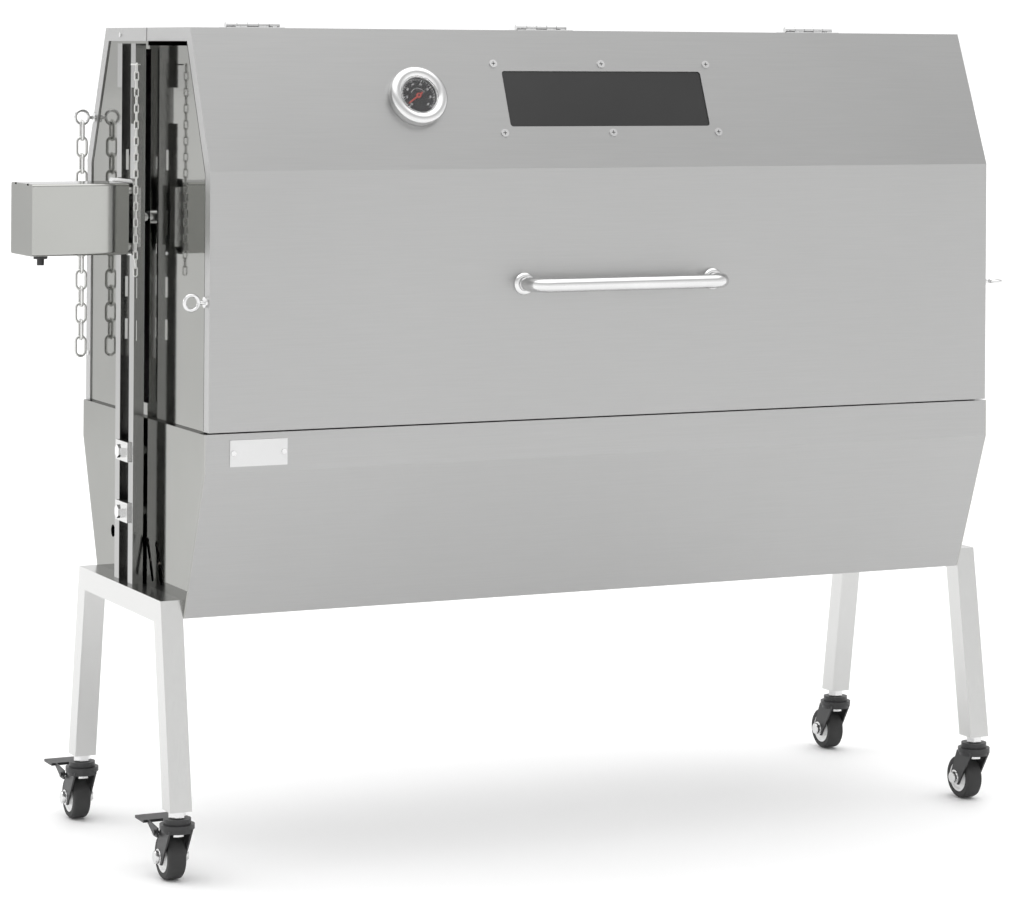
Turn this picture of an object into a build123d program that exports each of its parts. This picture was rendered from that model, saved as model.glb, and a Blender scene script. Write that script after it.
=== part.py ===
from build123d import *
import math
import os

# Spit roaster, millimetres, +Z up, length along X, front towards -Y, floor at z = 0.

# hood and firebox outline
lidLength = 980.0
fireLength = 988.0
lidHalfDepth = 206.0
fireHalfDepth = 202.5
topHalfDepth = 141.0
floorHalfDepth = 142.0
ridgeHeight = 920.0
bendHeight = 766.0
rimHeight = 485.0
foldHeight = 443.0
trayHeight = 280.0
sheet = 1.5
lidGap = 2.0
flangeWidth = 15.0
panelInset = 20.0
rimFlange = 12.0
spitSlotWidth = 22.0
ventLength = 50.0
ventWidth = 8.5
ventTilt = 23.0

# posts, carriages, drive
postGap = 2.5
postDepth = 17.0
mouthHalf = 15.0
lipEdge = 30.5
postTop = 902.0
slotLength = 22.7
slotWidth = 3.0
slotPitch = 47.4
topSlot = 772.0
slotCount = 5
keyOffset = 16.7
spitHeight = 708.0
spitRadius = 8.0
spitLength = 1096.0
crankRadius = 6.0
crankLength = 24.0
runFit = 0.05
slideGap = 0.4
plateHalfWidth = 42.0
plateHeight = 84.0
plateThick = 3.0
motorLength = 109.0
motorHalfWidth = 38.5
motorHeight = 79.0
motorWall = 1.2
socketRadius = 14.0
squareSize = 11.0
forkReach = 130.0
forkSpread = 30.0

# legs and casters
legTube = 25.0
legWall = 2.0
barTop = 300.0
legSpreadTop = 139.0
legSpreadFoot = 174.0
footHeight = 78.0
wheelRadius = 25.0
wheelWidth = 20.0
wheelTrail = 20.0
axleRadius = 4.0
stemRadius = 5.0

# fittings on the lid
thermoX = -236.0
thermoDrop = 82.3
bezelRadius = 34.0
dialRadius = 20.5
windowLength = 253.0
windowHeight = 67.0
windowDrop = 83.5
glassThick = 4.0
handleHalf = 119.0
handleHeight = 638.0
handleRadius = 8.0
handleReach = 38.0
hingeLength = 65.0
hingeCentres = (-364.0, 0.0, 364.0)
knuckleRadius = 3.5
hingePinRadius = 1.75
hingeLift = 4.0
ringHeight = 626.0
rearRingHeight = 816.0
ringRadius = 8.0
wire = 4.0
chainPitch = 19.3
chainLinks = 14
keyLinks = 26

lidEnd = lidLength / 2
fireEnd = fireLength / 2
webFace = fireEnd + postGap
lipFace = webFace + postDepth
plateFace = lipFace + 3.0
plateOut = plateFace + plateThick
housingFace = plateOut + 3.5
motorEnd = housingFace + motorLength
slopeRun = lidHalfDepth - topHalfDepth
slopeDrop = ridgeHeight - bendHeight
slopeLength = math.hypot(slopeRun, slopeDrop)
slopePlane = Plane(origin=(0, -topHalfDepth, ridgeHeight), x_dir=(1, 0, 0), z_dir=(0, -slopeDrop, slopeRun))
screwSpots = [(x, s) for x in (-135.5, 0.0, 135.5) for s in (41.3, 125.0)]
legCentreX = fireEnd + legTube / 2
legCentreY = legSpreadFoot - legTube / 2
axisHeight = ridgeHeight + hingeLift


def block(x0, x1, y0, y1, z0, z1):
    low = (min(x0, x1), min(y0, y1), min(z0, z1))
    size = (abs(x1 - x0), abs(y1 - y0), abs(z1 - z0))
    return Pos(*low) * Box(*size, align=(Align.MIN, Align.MIN, Align.MIN))


def rod(start, axis, radius, length):
    plane = Plane(origin=start, z_dir=axis)
    return plane * Cylinder(radius, length, align=(Align.CENTER, Align.CENTER, Align.MIN))


def hexRod(start, axis, acrossFlats, length):
    plane = Plane(origin=start, z_dir=axis)
    return extrude(plane * RegularPolygon(acrossFlats / math.sqrt(3), 6), length)


def slab(points, x0, x1):
    face = make_face(Plane.YZ.offset(x0) * Polyline(*points, close=True))
    return extrude(face, x1 - x0, dir=(1, 0, 0))


def inset(points, distance):
    moved = []
    count = len(points)
    for i, (y, z) in enumerate(points):
        before = points[max(i - 1, 0)]
        after = points[min(i + 1, count - 1)]
        ins = (y - before[0], z - before[1]) if i > 0 else (after[0] - y, after[1] - z)
        outs = (after[0] - y, after[1] - z) if i < count - 1 else ins
        normals = [(-v / math.hypot(u, v), u / math.hypot(u, v)) for u, v in (ins, outs)]
        my = normals[0][0] + normals[1][0]
        mz = normals[0][1] + normals[1][1]
        scale = 2 * distance / (my * my + mz * mz)
        moved.append((y + my * scale, z + mz * scale))
    return moved


def mirrorX(shape):
    return shape.mirror(Plane.YZ)


def joined(shapes):
    total = shapes[0]
    for shape in shapes[1:]:
        total = total + shape
    return total


def apart(shapes):
    solids = []
    for shape in shapes:
        solids.extend(shape.solids())
    return Compound(children=solids)


def hoodLine(side, bottom):
    # outline of one hood half, ridge to bottom edge, wound so that inset() moves inwards
    line = [(0.0, ridgeHeight), (-topHalfDepth, ridgeHeight), (-lidHalfDepth, bendHeight), (-lidHalfDepth, bottom)]
    return [(side * -y, z) for y, z in line]


def hoodHalf(side, bottom):
    outer = hoodLine(side, bottom)
    outer[0] = (side * 1.0, ridgeHeight)
    turn = 1 if side < 0 else -1
    inner = inset(outer, turn * sheet)
    shell = slab(outer + inner[::-1], -lidEnd, lidEnd)
    band = inset(outer, turn * flangeWidth)
    for end in (-1, 1):
        x = end * lidEnd
        shell = shell + slab(outer + band[::-1], x - sheet * (end > 0), x + sheet * (end < 0))
    lip = block(-lidEnd, lidEnd, side * (lidHalfDepth - flangeWidth), side * lidHalfDepth, bottom, bottom + sheet)
    return shell + lip


def onSlope(x, drop, shape, lift=0.0):
    return slopePlane * Pos(x, -drop, lift) * shape


def drilled(shape, start, axis, radius, length):
    return shape - rod(start, axis, radius, length)


# root body: firebox

def fireLine():
    return [(-fireHalfDepth, rimHeight), (-fireHalfDepth, foldHeight), (-floorHalfDepth, trayHeight)]


def fireboxTrough():
    line = fireLine()
    outer = line + [(-y, z) for y, z in line[::-1]]
    inner = inset(outer, sheet)
    inner[0] = (-fireHalfDepth + sheet, rimHeight)
    inner[-1] = (fireHalfDepth - sheet, rimHeight)
    length = fireEnd - sheet
    body = slab(outer + inner[::-1], -length, length)
    for side in (-1, 1):
        edge = side * fireHalfDepth
        body = body + block(-length, length, edge, edge - side * rimFlange, rimHeight - sheet, rimHeight)
        for x in rearRivets:
            body = drilled(body, (x, side * rivetY, rimHeight - 5), (0, 0, 1), 2.5, 10)
    for x, z in plateRivets:
        body = drilled(body, (x, -fireHalfDepth - 5, z), (0, 1, 0), 1.5, 10)
    return body


def fireboxEnd():
    line = fireLine()
    plate = slab(line + [(-y, z) for y, z in line[::-1]], fireEnd - sheet, fireEnd)
    flange = block(fireEnd - 10, fireEnd, -185, 185, rimHeight - sheet, rimHeight)
    plate = plate + flange
    for side in (-1, 1):
        for y in (34.0, 63.0):
            vent = Plane.YZ.offset(fireEnd - 5) * Pos(side * y, 329.5) * Rot(0, 0, 90 + side * ventTilt)
            plate = plate - extrude(vent * SlotOverall(ventLength, ventWidth), 10)
        plate = drilled(plate, (fireEnd - 5, side * barBoltY, barBoltZ), (1, 0, 0), 4.0, 10)
    plate = drilled(plate, (fireEnd - 5, 93, 345), (1, 0, 0), 7.0, 10)
    for z in strapHeights:
        plate = drilled(plate, (fireEnd - 5, 0, z), (1, 0, 0), 4.0, 10)
    return plate


rearRivets = (-400.0, 0.0, 400.0)
rivetY = 196.0
plateRivets = ((-460.5, 464.0), (-402.5, 464.0))
strapHeights = (447.5, 380.0)
barBoltY = 90.0
barBoltZ = 291.5
grateHeight = 330.0
grateHalf = 148.0
grateHalfLength = 470.0


def charcoalGrate():
    bars = []
    for side in (-1, 1):
        y = side * grateHalf
        bars.append(block(-grateHalfLength, grateHalfLength, y - 3, y + 3, grateHeight, grateHeight + 6))
    count = 21
    for i in range(count):
        x = -grateHalfLength + 10 + i * (2 * grateHalfLength - 20) / (count - 1)
        bars.append(rod((x, -grateHalf, grateHeight + 3), (0, 1, 0), 2.5, 2 * grateHalf))
    return joined(bars)


def grateSupport():
    top = block(fireEnd - sheet - 35, fireEnd - sheet, -135, 135, grateHeight - 2, grateHeight)
    leg = block(fireEnd - sheet - 2, fireEnd - sheet, -135, -75, grateHeight - 14, grateHeight)
    return top + leg + leg.mirror(Plane.XZ)


def nameplate():
    plate = block(-464.5, -398.5, -fireHalfDepth - 1, -fireHalfDepth, 449.5, 478)
    for x, z in plateRivets:
        plate = drilled(plate, (x, -fireHalfDepth - 5, z), (0, 1, 0), 1.5, 10)
    return plate


# root body: fixed hood half and end panels

def hoodRear():
    shell = hoodHalf(1, rimHeight)
    for x in rearRivets:
        shell = drilled(shell, (x, rivetY, rimHeight - 5), (0, 0, 1), 2.5, 10)
    for x in leafScrewSpots():
        shell = drilled(shell, (x, leafScrewY, ridgeHeight - 5), (0, 0, 1), 1.5, 10)
    for end in (-1, 1):
        start = (end * (lidEnd - 10), rearRingY, rearRingHeight)
        shell = drilled(shell, start, (end, 0, 0), 2.5, 20)
        for y, z in panelRivets:
            shell = drilled(shell, (end * (lidEnd - 10), y, z), (end, 0, 0), 1.5, 20)
    return shell


rearRingY = 176.0
panelRivets = ((197.0, 540.0), (197.0, 720.0), (90.0, 912.0))


def hoodEnd():
    front = inset(hoodLine(-1, rimHeight), panelInset)
    front[0] = (-1.0, ridgeHeight - panelInset)
    front[-1] = (front[-1][0], rimHeight)
    back = inset(hoodLine(1, rimHeight), -(sheet + 1))
    back[0] = (-1.0, ridgeHeight - sheet - 1)
    back[-1] = (back[-1][0], rimHeight + sheet)
    low = [(lidHalfDepth - flangeWidth - 1, rimHeight + sheet), (lidHalfDepth - flangeWidth - 1, rimHeight)]
    outline = front[::-1] + back + low
    plate = slab(outline, lidEnd - 2 * sheet, lidEnd - sheet)
    slot = block(lidEnd - 10, lidEnd + 10, -spitSlotWidth / 2, spitSlotWidth / 2, 500, ridgeHeight - panelInset - 4)
    plate = plate - slot
    plate = drilled(plate, (lidEnd - 10, rearRingY, rearRingHeight), (1, 0, 0), 2.5, 20)
    for y, z in panelRivets:
        plate = drilled(plate, (lidEnd - 10, y, z), (1, 0, 0), 1.5, 20)
    return plate


# hinges at the ridge

leafWidth = 20.0
leafScrewY = 13.0
knuckles = 5


def leafScrewSpots():
    return [x + dx for x in hingeCentres for dx in (-22.0, 22.0)]


def hingeLeaf(centre, side):
    start = centre - hingeLength / 2
    plate = block(start, start + hingeLength, side * 4.3, side * leafWidth, ridgeHeight, ridgeHeight + 1.5)
    pieces = [plate]
    step = hingeLength / knuckles
    for i in range(knuckles):
        if (i % 2 == 0) != (side > 0):
            continue
        x0 = start + i * step + slideGap / 2 * (i > 0)
        x1 = start + (i + 1) * step - slideGap / 2 * (i < knuckles - 1)
        pieces.append(rod((x0, 0, axisHeight), (1, 0, 0), knuckleRadius, x1 - x0))
        pieces.append(block(x0, x1, side * 1.6, side * 4.3, ridgeHeight + 0.4, ridgeHeight + 1.5))
    bore = hingePinRadius + (runFit if side < 0 else 0)
    leaf = joined(pieces) - rod((start - 5, 0, axisHeight), (1, 0, 0), bore, hingeLength + 10)
    for dx in (-22.0, 22.0):
        leaf = drilled(leaf, (centre + dx, side * leafScrewY, ridgeHeight - 5), (0, 0, 1), 1.5, 10)
    return leaf


def hingePin(centre):
    return rod((centre - hingeLength / 2, 0, axisHeight), (1, 0, 0), hingePinRadius, hingeLength)


def leafRivet(x, side):
    head = rod((x, side * leafScrewY, ridgeHeight + 1.5), (0, 0, 1), 3.0, 1.2)
    shank = rod((x, side * leafScrewY, ridgeHeight - sheet - 1), (0, 0, 1), 1.5, sheet + 2.5)
    tail = rod((x, side * leafScrewY, ridgeHeight - sheet - 1), (0, 0, 1), 2.6, 1)
    return head + shank + tail


# posts

def post():
    back = mouthHalf + sheet
    z0 = barTop
    web = block(webFace, webFace + 2, -back, back, z0, postTop)
    pieces = [web]
    for side in (-1, 1):
        pieces.append(block(webFace, lipFace, side * mouthHalf, side * back, z0, postTop))
        pieces.append(block(lipFace - sheet, lipFace, side * mouthHalf, side * lipEdge, z0, postTop))
    body = joined(pieces)
    body = body - block(webFace - 5, webFace + 4, -spitSlotWidth / 2, spitSlotWidth / 2, 550, 776)
    for side in (-1, 1):
        body = body - block(lipFace - sheet - 1, lipFace + 1, side * back, side * (lipEdge + 1), 813, 853)
    for i in range(slotCount):
        z = topSlot - i * slotPitch
        body = body - block(slotX - slotWidth / 2, slotX + slotWidth / 2, -40, 40, z - slotLength / 2, z + slotLength / 2)
    for z in strapHeights:
        body = drilled(body, (webFace - 5, 0, z), (1, 0, 0), 4.0, 30)
    return body


slotX = lipFace - 6.8


def postStrap(z):
    strap = block(lipFace, lipFace + 3, -20, 20, z - 11, z + 11)
    return drilled(strap, (lipFace - 5, 0, z), (1, 0, 0), 4.0, 30)


def throughBolt(x0, x1, y, z):
    head = hexRod((x1, y, z), (1, 0, 0), 13.0, 5.5)
    return head + rod((x0 - 8, y, z), (1, 0, 0), 4.0, x1 - x0 + 8)


def nut(x, y, z):
    return hexRod((x - 6.5, y, z), (1, 0, 0), 13.0, 6.5) - rod((x - 7, y, z), (1, 0, 0), 4.0, 8)


def frameBolts():
    solids = []
    inner = fireEnd - sheet
    half = []
    for z in strapHeights:
        half.append(throughBolt(inner, lipFace + 3, 0, z))
        half.append(nut(inner, 0, z))
        washer = rod((fireEnd, 0, z), (1, 0, 0), 9.0, postGap)
        half.append(drilled(washer, (fireEnd - 1, 0, z), (1, 0, 0), 4.0, 10))
    for side in (-1, 1):
        spot = (inner, side * barBoltY, barBoltZ)
        half.append(hexRod(spot, (-1, 0, 0), 13.0, 5.5) + rod(spot, (1, 0, 0), 4.0, sheet + legWall + 4))
    for y, z in panelRivets:
        head = rod((lidEnd, y, z), (1, 0, 0), 2.8, 1.0)
        tail = rod((lidEnd - 2 * sheet - 1, y, z), (1, 0, 0), 2.8, 1.0)
        half.append(head + tail + rod((lidEnd - 2 * sheet - 1, y, z), (1, 0, 0), 1.5, 2 * sheet + 1))
    for shape in half:
        solids.append(shape)
        solids.append(mirrorX(shape))
    for x in rearRivets:
        head = rod((x, rivetY, rimHeight + sheet), (0, 0, 1), 4.5, 2.0)
        tail = rod((x, rivetY, rimHeight - sheet - 3), (0, 0, 1), 4.5, 3.0)
        solids.append(head + tail + rod((x, rivetY, rimHeight - sheet - 3), (0, 0, 1), 2.5, 2 * sheet + 3))
    for x in leafScrewSpots():
        solids.append(leafRivet(x, 1))
    for x, z in plateRivets:
        start = (x, -fireHalfDepth - 1, z)
        head = rod(start, (0, -1, 0), 2.8, 1.0)
        tail = rod((x, -fireHalfDepth + sheet, z), (0, 1, 0), 2.8, 1.0)
        solids.append(head + tail + rod(start, (0, 1, 0), 1.5, sheet + 2))
    return apart(solids)


# legs

def legFrame():
    def outline(grow):
        top = barTop - grow
        t = legTube - grow
        slope = (legSpreadFoot - legSpreadTop) / (barTop - footHeight)
        bottom = footHeight + (3.0 if grow else 0.0)
        legs = []
        for side in (-1, 1):
            yTop = legSpreadTop + (barTop - top) * slope
            yFoot = legSpreadFoot - (bottom - footHeight) * slope
            pts = [(yTop - grow, top), (yFoot - grow, bottom), (yFoot - t, bottom), (yTop - t, top)]
            legs.append([(side * y, z) for y, z in pts])
        z0 = barTop - legTube + grow
        y0 = legSpreadTop + (barTop - z0) * slope - grow
        y1 = legSpreadTop + (barTop - top) * slope - grow
        bar = [(-y1, top), (y1, top), (y0, z0), (-y0, z0)]
        return legs + [bar]

    def tube(grow):
        x0 = fireEnd + grow
        x1 = fireEnd + legTube - grow
        return joined([slab(pts, x0, x1) for pts in outline(grow)])

    body = tube(0.0) - tube(legWall)
    for side in (-1, 1):
        start = (legCentreX, side * legCentreY, footHeight - 1)
        body = body - rod(start, (0, 0, 1), stemRadius, 10)
        body = drilled(body, (fireEnd - 5, side * barBoltY, barBoltZ), (1, 0, 0), 4.0, 15)
    return body


def casterStem(x, y):
    stem = rod((x, y, 54), (0, 0, 1), stemRadius, 44)
    head = rod((x, y, 51), (0, 0, 1), 9.0, 3.0)
    nutTop = hexRod((x, y, 71), (0, 0, 1), 17.0, 7.0)
    inside = hexRod((x, y, footHeight + 3), (0, 0, 1), 14.0, 7.0)
    return stem + head + nutTop + inside


# casters

def casterFork(x, y):
    cup = rod((x, y, 55), (0, 0, 1), 17.0, 4.0) + rod((x, y, 59), (0, 0, 1), 19.0, 5.0)
    cup = cup + rod((x, y, 64), (0, 0, 1), 15.0, 6.0)
    arms = []
    for side in (-1, 1):
        inner = side * (wheelWidth / 2 + 1.5)
        outer = inner + side * 2.0
        pts = [(y - 14, 59), (y + 16, 59), (y + wheelTrail + 9, 30), (y + wheelTrail + 6, 17), (y + wheelTrail - 7, 17)]
        arms.append(slab(pts, min(x + inner, x + outer), max(x + inner, x + outer)))
    body = joined([cup] + arms)
    body = body - rod((x, y, 50), (0, 0, 1), stemRadius + runFit, 25)
    return drilled(body, (x - 20, y + wheelTrail, wheelRadius), (1, 0, 0), axleRadius, 40)


def axleBolt(x, y):
    half = wheelWidth / 2 + 3.5
    at = y + wheelTrail
    shaft = rod((x - half - 5, at, wheelRadius), (1, 0, 0), axleRadius, 2 * half + 5)
    head = hexRod((x - half - 5, at, wheelRadius), (1, 0, 0), 12.0, 5.0)
    return shaft + head + hexRod((x + half, at, wheelRadius), (1, 0, 0), 12.0, 5.0)


def casterWheel(x, y):
    half = wheelWidth / 2
    start = (x - half, y + wheelTrail, wheelRadius)
    tyre = rod(start, (1, 0, 0), wheelRadius, wheelWidth) - rod(start, (1, 0, 0), 17.0, wheelWidth)
    hub = rod((x - half + 1, y + wheelTrail, wheelRadius), (1, 0, 0), 17.0, wheelWidth - 2)
    boss = rod((x - half - 1, y + wheelTrail, wheelRadius), (1, 0, 0), 9.0, wheelWidth + 2)
    hub = hub + boss
    hub = hub - rod((x - 20, y + wheelTrail, wheelRadius), (1, 0, 0), axleRadius + runFit, 40)
    return apart([tyre, hub])


pedalY = 20.0
pedalZ = 52.0


def brakePedal(x, y):
    tip = block(x - 22, x + 22, y + 46, y + 74, 57, 60)
    arms = []
    for side in (-1, 1):
        x0 = x + side * 15.5
        pts = [(y + pedalY - 5, 47), (y + pedalY - 5, 57), (y + 46, 60), (y + 46, 57), (y + pedalY + 6, 47)]
        arms.append(slab(pts, min(x0, x0 + side * 2), max(x0, x0 + side * 2)))
        arms.append(block(x + side * 15.5, x + side * 17.5, y + 44, y + 50, 57, 60))
    body = joined([tip] + arms)
    return body - rod((x - 30, y + pedalY, pedalZ), (1, 0, 0), 1.5 + runFit, 60)


def pedalPin(x, y, side):
    x0 = x + side * (wheelWidth / 2 + 3.5)
    body = rod((x0, y + pedalY, pedalZ), (side, 0, 0), 1.5, 5.0)
    return body + rod((x0 + side * 5.0, y + pedalY, pedalZ), (side, 0, 0), 3.0, 1.5)


# lid

def lidShell():
    shell = hoodHalf(-1, rimHeight + lidGap)
    opening = Box(windowLength, windowHeight, 20)
    shell = shell - onSlope(0, windowDrop, fillet(opening.edges().filter_by(Axis.Z), 3.5))
    shell = shell - onSlope(thermoX, thermoDrop, Cylinder(5, 20))
    for x, s in screwSpots:
        shell = shell - onSlope(x, s, Cylinder(2, 20))
    for side in (-1, 1):
        shell = drilled(shell, (side * handleHalf, -lidHalfDepth - 5, handleHeight), (0, 1, 0), 3.0, 10)
        start = (side * (lidEnd - 10), -ringY, ringHeight)
        shell = drilled(shell, start, (side, 0, 0), 2.5, 20)
    for x in leafScrewSpots():
        shell = drilled(shell, (x, -leafScrewY, ridgeHeight - 5), (0, 0, 1), 1.5, 10)
    return shell


ringY = 197.5


def windowGlass():
    return onSlope(0, windowDrop, Box(windowLength + 12, windowHeight + 12, glassThick), -sheet - glassThick / 2)


def windowGasket():
    depth = glassThick + 1.5
    frame = Box(windowLength + 34, windowHeight + 32, depth) - Box(windowLength, windowHeight, 20)
    frame = frame - Pos(0, 0, 0.75) * Box(windowLength + 12, windowHeight + 12, glassThick)
    frame = onSlope(0, windowDrop, frame, -sheet - depth / 2)
    for x, s in screwSpots:
        frame = frame - onSlope(x, s, Cylinder(2, 20))
    return frame


def lidScrews():
    solids = []
    depth = glassThick + 1.5 + sheet
    for x, s in screwSpots:
        dome = Cylinder(4.6, 1.4, align=(Align.CENTER, Align.CENTER, Align.MIN))
        shank = Pos(0, 0, -depth - 4) * Cylinder(2, depth + 4, align=(Align.CENTER, Align.CENTER, Align.MIN))
        ring = Pos(0, 0, -depth - 3.2) * Cylinder(4, 3.2, align=(Align.CENTER, Align.CENTER, Align.MIN))
        solids.append(onSlope(x, s, dome + shank + ring))
    for side in (-1, 1):
        start = (side * handleHalf, -lidHalfDepth + sheet, handleHeight)
        head = hexRod(start, (0, 1, 0), 10.0, 4.0)
        solids.append(head + rod(start, (0, -1, 0), 3.0, sheet + 16))
    thermoNut = Cylinder(9, 5) - Cylinder(5, 6)
    solids.append(onSlope(thermoX, thermoDrop, thermoNut, -sheet - 2.5))
    for x in leafScrewSpots():
        solids.append(leafRivet(x, -1))
    return apart(solids)


def thermometerCase():
    low = (Align.CENTER, Align.CENTER, Align.MIN)
    body = Cylinder(bezelRadius, 12, align=low)
    body = fillet(body.edges().sort_by(Axis.Z)[-1:], 4.0)
    body = body - Pos(0, 0, 5) * Cylinder(dialRadius, 10, align=low)
    body = body - Pos(0, 0, 9) * Cylinder(dialRadius + 1.5, 10, align=low)
    stem = Pos(0, 0, -16) * Cylinder(5, 16, align=low) + Pos(0, 0, -62) * Cylinder(3, 46, align=low)
    return onSlope(thermoX, thermoDrop, body + stem)


def thermometerDial():
    low = (Align.CENTER, Align.CENTER, Align.MIN)
    plate = Cylinder(dialRadius - 0.2, 1, align=low) + Pos(0, 0, 1) * Cylinder(1.2, 1.8, align=low)
    return onSlope(thermoX, thermoDrop, plate, 5.0)


def thermometerNeedle():
    low = (Align.CENTER, Align.CENTER, Align.MIN)
    hub = Cylinder(3, 0.8, align=low)
    arm = Rot(0, 0, 215) * Pos(0, -0.8, 0) * Box(16, 1.6, 0.8, align=(Align.MIN, Align.MIN, Align.MIN))
    tail = Rot(0, 0, 35) * Pos(0, -1, 0) * Box(6, 2, 0.8, align=(Align.MIN, Align.MIN, Align.MIN))
    needle = hub + arm + tail - Cylinder(1.2 + runFit, 5)
    return onSlope(thermoX, thermoDrop, needle, 6.5)


def thermometerGlass():
    low = (Align.CENTER, Align.CENTER, Align.MIN)
    return onSlope(thermoX, thermoDrop, Cylinder(dialRadius + 1.5, 1.5, align=low), 9.0)


def lidHandle():
    y0 = -lidHalfDepth
    y1 = -lidHalfDepth - handleReach
    bend = 18.0
    path = FilletPolyline(
        (-handleHalf, y0, handleHeight), (-handleHalf, y1, handleHeight),
        (handleHalf, y1, handleHeight), (handleHalf, y0, handleHeight), radius=bend)
    bar = sweep(Plane(origin=(-handleHalf, y0, handleHeight), z_dir=(0, -1, 0)) * Circle(handleRadius), path=path)
    for side in (-1, 1):
        bar = drilled(bar, (side * handleHalf, y0 + 1, handleHeight), (0, -1, 0), 3.0, 17)
    return bar


def handleCollar(side):
    start = (side * handleHalf, -lidHalfDepth, handleHeight)
    ring = rod(start, (0, -1, 0), 12.5, 6.0)
    ring = fillet(ring.edges().sort_by(Axis.Y)[:1], 2.0)
    return ring - rod(start, (0, -1, 0), handleRadius, 10)


def eyebolt(x, y, z, end, flat):
    # ring beyond the flange, shank through it, nut behind
    centre = x + end * (ringRadius + wire / 2 + 7.0)
    plane = Plane(origin=(centre, y, z), z_dir=(0, 0, 1) if flat else (0, 1, 0))
    ring = plane * Torus(ringRadius, wire / 2)
    collar = rod((x, y, z), (end, 0, 0), 6.0, 3.0)
    neck = rod((x + end * 3, y, z), (end, 0, 0), 2.5, 5.0)
    shank = rod((x - end * 12, y, z), (end, 0, 0), 2.5, 12)
    back = hexRod((x - end * 7, y, z), (end, 0, 0), 9.0, 7.0 - backStack)
    return joined([ring, neck, collar, shank, back])


backStack = 3.0


def lidEyebolts():
    return apart([lidEyebolt(-1, False), lidEyebolt(1, True)])


def lidEyebolt(end, flat):
    x = end * lidEnd
    bolt = eyebolt(x, -ringY, ringHeight, end, flat)
    return bolt + hexRod((x - end * backStack, -ringY, ringHeight), (end, 0, 0), 9.0, backStack - sheet)


def rearEyebolts():
    pair = []
    for end in (-1, 1):
        pair.append(eyebolt(end * lidEnd, rearRingY, rearRingHeight, end, False))
    return apart(pair)


# chains

def chainLink(width, length, thick):
    # stadium link in the local XZ plane, centred
    r = width / 2 - thick / 2
    half = length / 2 - width / 2
    turn = Plane(origin=(0, 0, 0), z_dir=(0, 1, 0)) * Torus(r, thick / 2)
    top = (turn & block(-width, width, -thick, thick, 0, width)).moved(Location((0, 0, half)))
    bottom = (turn & block(-width, width, -thick, thick, -width, 0)).moved(Location((0, 0, -half)))
    sides = [rod((s * r, 0, -half), (0, 0, 1), thick / 2, 2 * half) for s in (-1, 1)]
    return joined([top, bottom] + sides)


def lidChain(end):
    thick = wire - 0.6
    length = chainPitch + 2 * thick
    x = end * (lidEnd + ringRadius + wire / 2 + 7.0)
    link = chainLink(15.0, length, thick)
    top = rearRingHeight - ringRadius + wire / 2 + thick + 0.3
    links = []
    for i in range(chainLinks):
        turn = 0 if i % 2 else 90
        centre = top - length / 2 - i * chainPitch
        links.append(Pos(x, rearRingY, centre) * Rot(0, 0, turn) * link)
    return apart(links)


def keyChain(end):
    thick = 1.4
    pitch = 9.0
    length = pitch + 2 * thick
    link = chainLink(5.6, length, thick)
    x = end * (lipFace + 4.0)
    y = -(plateHalfWidth + 4.0)
    top = 881.0
    pieces = []
    for i in range(keyLinks):
        turn = 0 if i % 2 else 90
        pieces.append(Pos(x, y, top - length / 2 - i * pitch) * Rot(0, 0, turn) * link)
    staple = block(end * lipFace, end * (lipFace + 4.6), y - 1, 3 - lipEdge, top - 2 * thick, top - thick)
    return apart(pieces + [staple])


# carriages and drive, drawn at the right and mirrored for the left

def carriage(boreRadius):
    z0 = spitHeight - motorHeight / 2 - 1
    z1 = z0 + plateHeight
    plate = block(plateFace, plateOut, -plateHalfWidth, plateHalfWidth, z0, z1)
    plate = fillet(plate.edges().filter_by(Axis.X), 8.0)
    pieces = [plate]
    behind = lipFace - sheet - slideGap
    for side in (-1, 1):
        edge = side * (lipEdge + slideGap)
        wall = side * (lipEdge + 6.5)
        pieces.append(block(behind - 3, plateFace, edge, wall, z0 + 9, z1 - 9))
        pieces.append(block(behind - 3, behind, side * 20, wall, z0 + 9, z1 - 9))
        pieces.append(block(lipFace + slideGap, plateFace, side * 20, wall, z0 + 9, z1 - 9))
    keyZ = spitHeight + keyOffset
    pieces.append(block(slotX - 3.5, behind, lipEdge + slideGap, lipEdge + 6.5, keyZ - 14, keyZ + 14))
    body = joined(pieces)
    gap = 0.3
    body = body - block(slotX - 1.1 - gap, slotX + 1.1 + gap, 10, 60, keyZ - 10 - gap, keyZ + 10 + gap)
    return drilled(body, (plateFace - 5, 0, spitHeight), (1, 0, 0), boreRadius, 20)


def heightKey():
    keyZ = spitHeight + keyOffset
    blade = block(slotX - 1.1, slotX + 1.1, mouthHalf + sheet + 0.7, keyHead, keyZ - 10, keyZ + 10)
    head = block(slotX - 5, slotX + 5, keyHead, keyHead + 3, keyZ - 15, keyZ + 15)
    return blade + head - rod((slotX, keyHead - 1, keyZ + 11.5), (0, 1, 0), 1.8, 10)


keyTravel = 12.0
keyHead = lipEdge + 6.5 + keyTravel + 0.5


def spitBush():
    sleeve = rod((plateFace - 3, 0, spitHeight), (1, 0, 0), 14.0, 20.0)
    flange = rod((plateOut, 0, spitHeight), (1, 0, 0), 19.0, 3.0)
    return drilled(sleeve + flange, (plateFace - 10, 0, spitHeight), (1, 0, 0), spitRadius + runFit, 60)


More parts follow.
